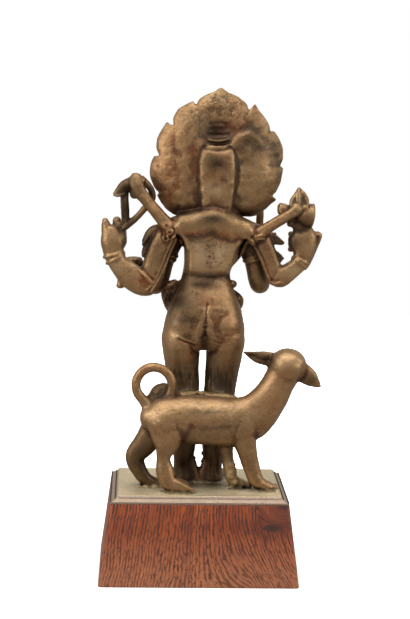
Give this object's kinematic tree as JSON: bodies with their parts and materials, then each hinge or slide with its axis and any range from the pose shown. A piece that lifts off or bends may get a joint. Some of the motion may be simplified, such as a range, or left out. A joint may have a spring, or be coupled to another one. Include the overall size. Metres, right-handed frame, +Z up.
{
  "type": "bronze shiva figure on a plinth",
  "caption": "Cast bronze figure of Shiva as Bhairava with a leaf-shaped fan of hair and a dog standing behind the legs, on a tapered hardwood plinth that rests on its flat underside.",
  "frame": {"origin": "middle of the plinth's flat underside", "axes": "+Z up through the figure, +Y the way the figure faces, +X towards the figure's own right-hand side"},
  "size_m": [0.0934, 0.0678, 0.2037],
  "materials": {
    "bronze": "brown cast bronze with dark recesses and rubbed reddish and golden high spots",
    "hardwood": "reddish close-grained hardwood, rubbed with wax"
  },
  "bodies": {
    "root": {"bhairava_bronze": "bronze", "hardwood_plinth": "hardwood"}
  },
  "joints": []
}
